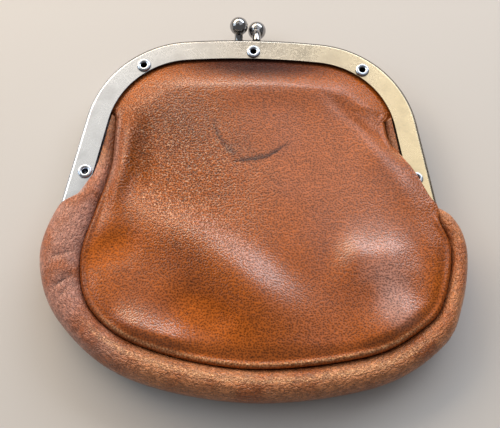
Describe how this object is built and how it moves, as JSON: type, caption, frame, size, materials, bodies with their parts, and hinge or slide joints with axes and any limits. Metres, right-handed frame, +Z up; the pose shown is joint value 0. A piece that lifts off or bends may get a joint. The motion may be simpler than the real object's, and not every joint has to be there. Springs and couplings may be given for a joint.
{
  "type": "leather clasp-frame coin purse",
  "caption": "Small brown leather coin purse with an arched metal clasp frame, eyelets, a two-ball kiss-lock and a puffed gusset, lying closed on its back.",
  "frame": {"origin": "middle of the purse's box, on the surface that its back lies on", "axes": "+X across the frame to the right, +Y from the bottom of the pouch towards the clasp, +Z up out of the front panel"},
  "size_m": [0.1209, 0.1179, 0.0165],
  "materials": {
    "panel_leather": "glazed grained leather, worn",
    "gusset_leather": "matt worn leather",
    "frame_nickel": "nickel plated, satin, scratched",
    "polished_nickel": "polished, tarnished",
    "eyelet_nickel": "polished, worn"
  },
  "bodies": {
    "root": {"front_panel": "panel_leather", "back_panel": "panel_leather", "gusset": "gusset_leather", "front_bow": "frame_nickel", "back_bow": "frame_nickel", "front_ball": "polished_nickel", "back_ball": "polished_nickel", "front_eyelet_1": "eyelet_nickel", "front_eyelet_2": "eyelet_nickel", "front_eyelet_3": "eyelet_nickel", "front_eyelet_4": "eyelet_nickel", "front_eyelet_5": "eyelet_nickel", "back_eyelet_1": "eyelet_nickel", "back_eyelet_2": "eyelet_nickel", "back_eyelet_3": "eyelet_nickel", "back_eyelet_4": "eyelet_nickel", "back_eyelet_5": "eyelet_nickel", "hinge_pin_left": "frame_nickel", "hinge_pin_right": "frame_nickel"}
  },
  "joints": []
}
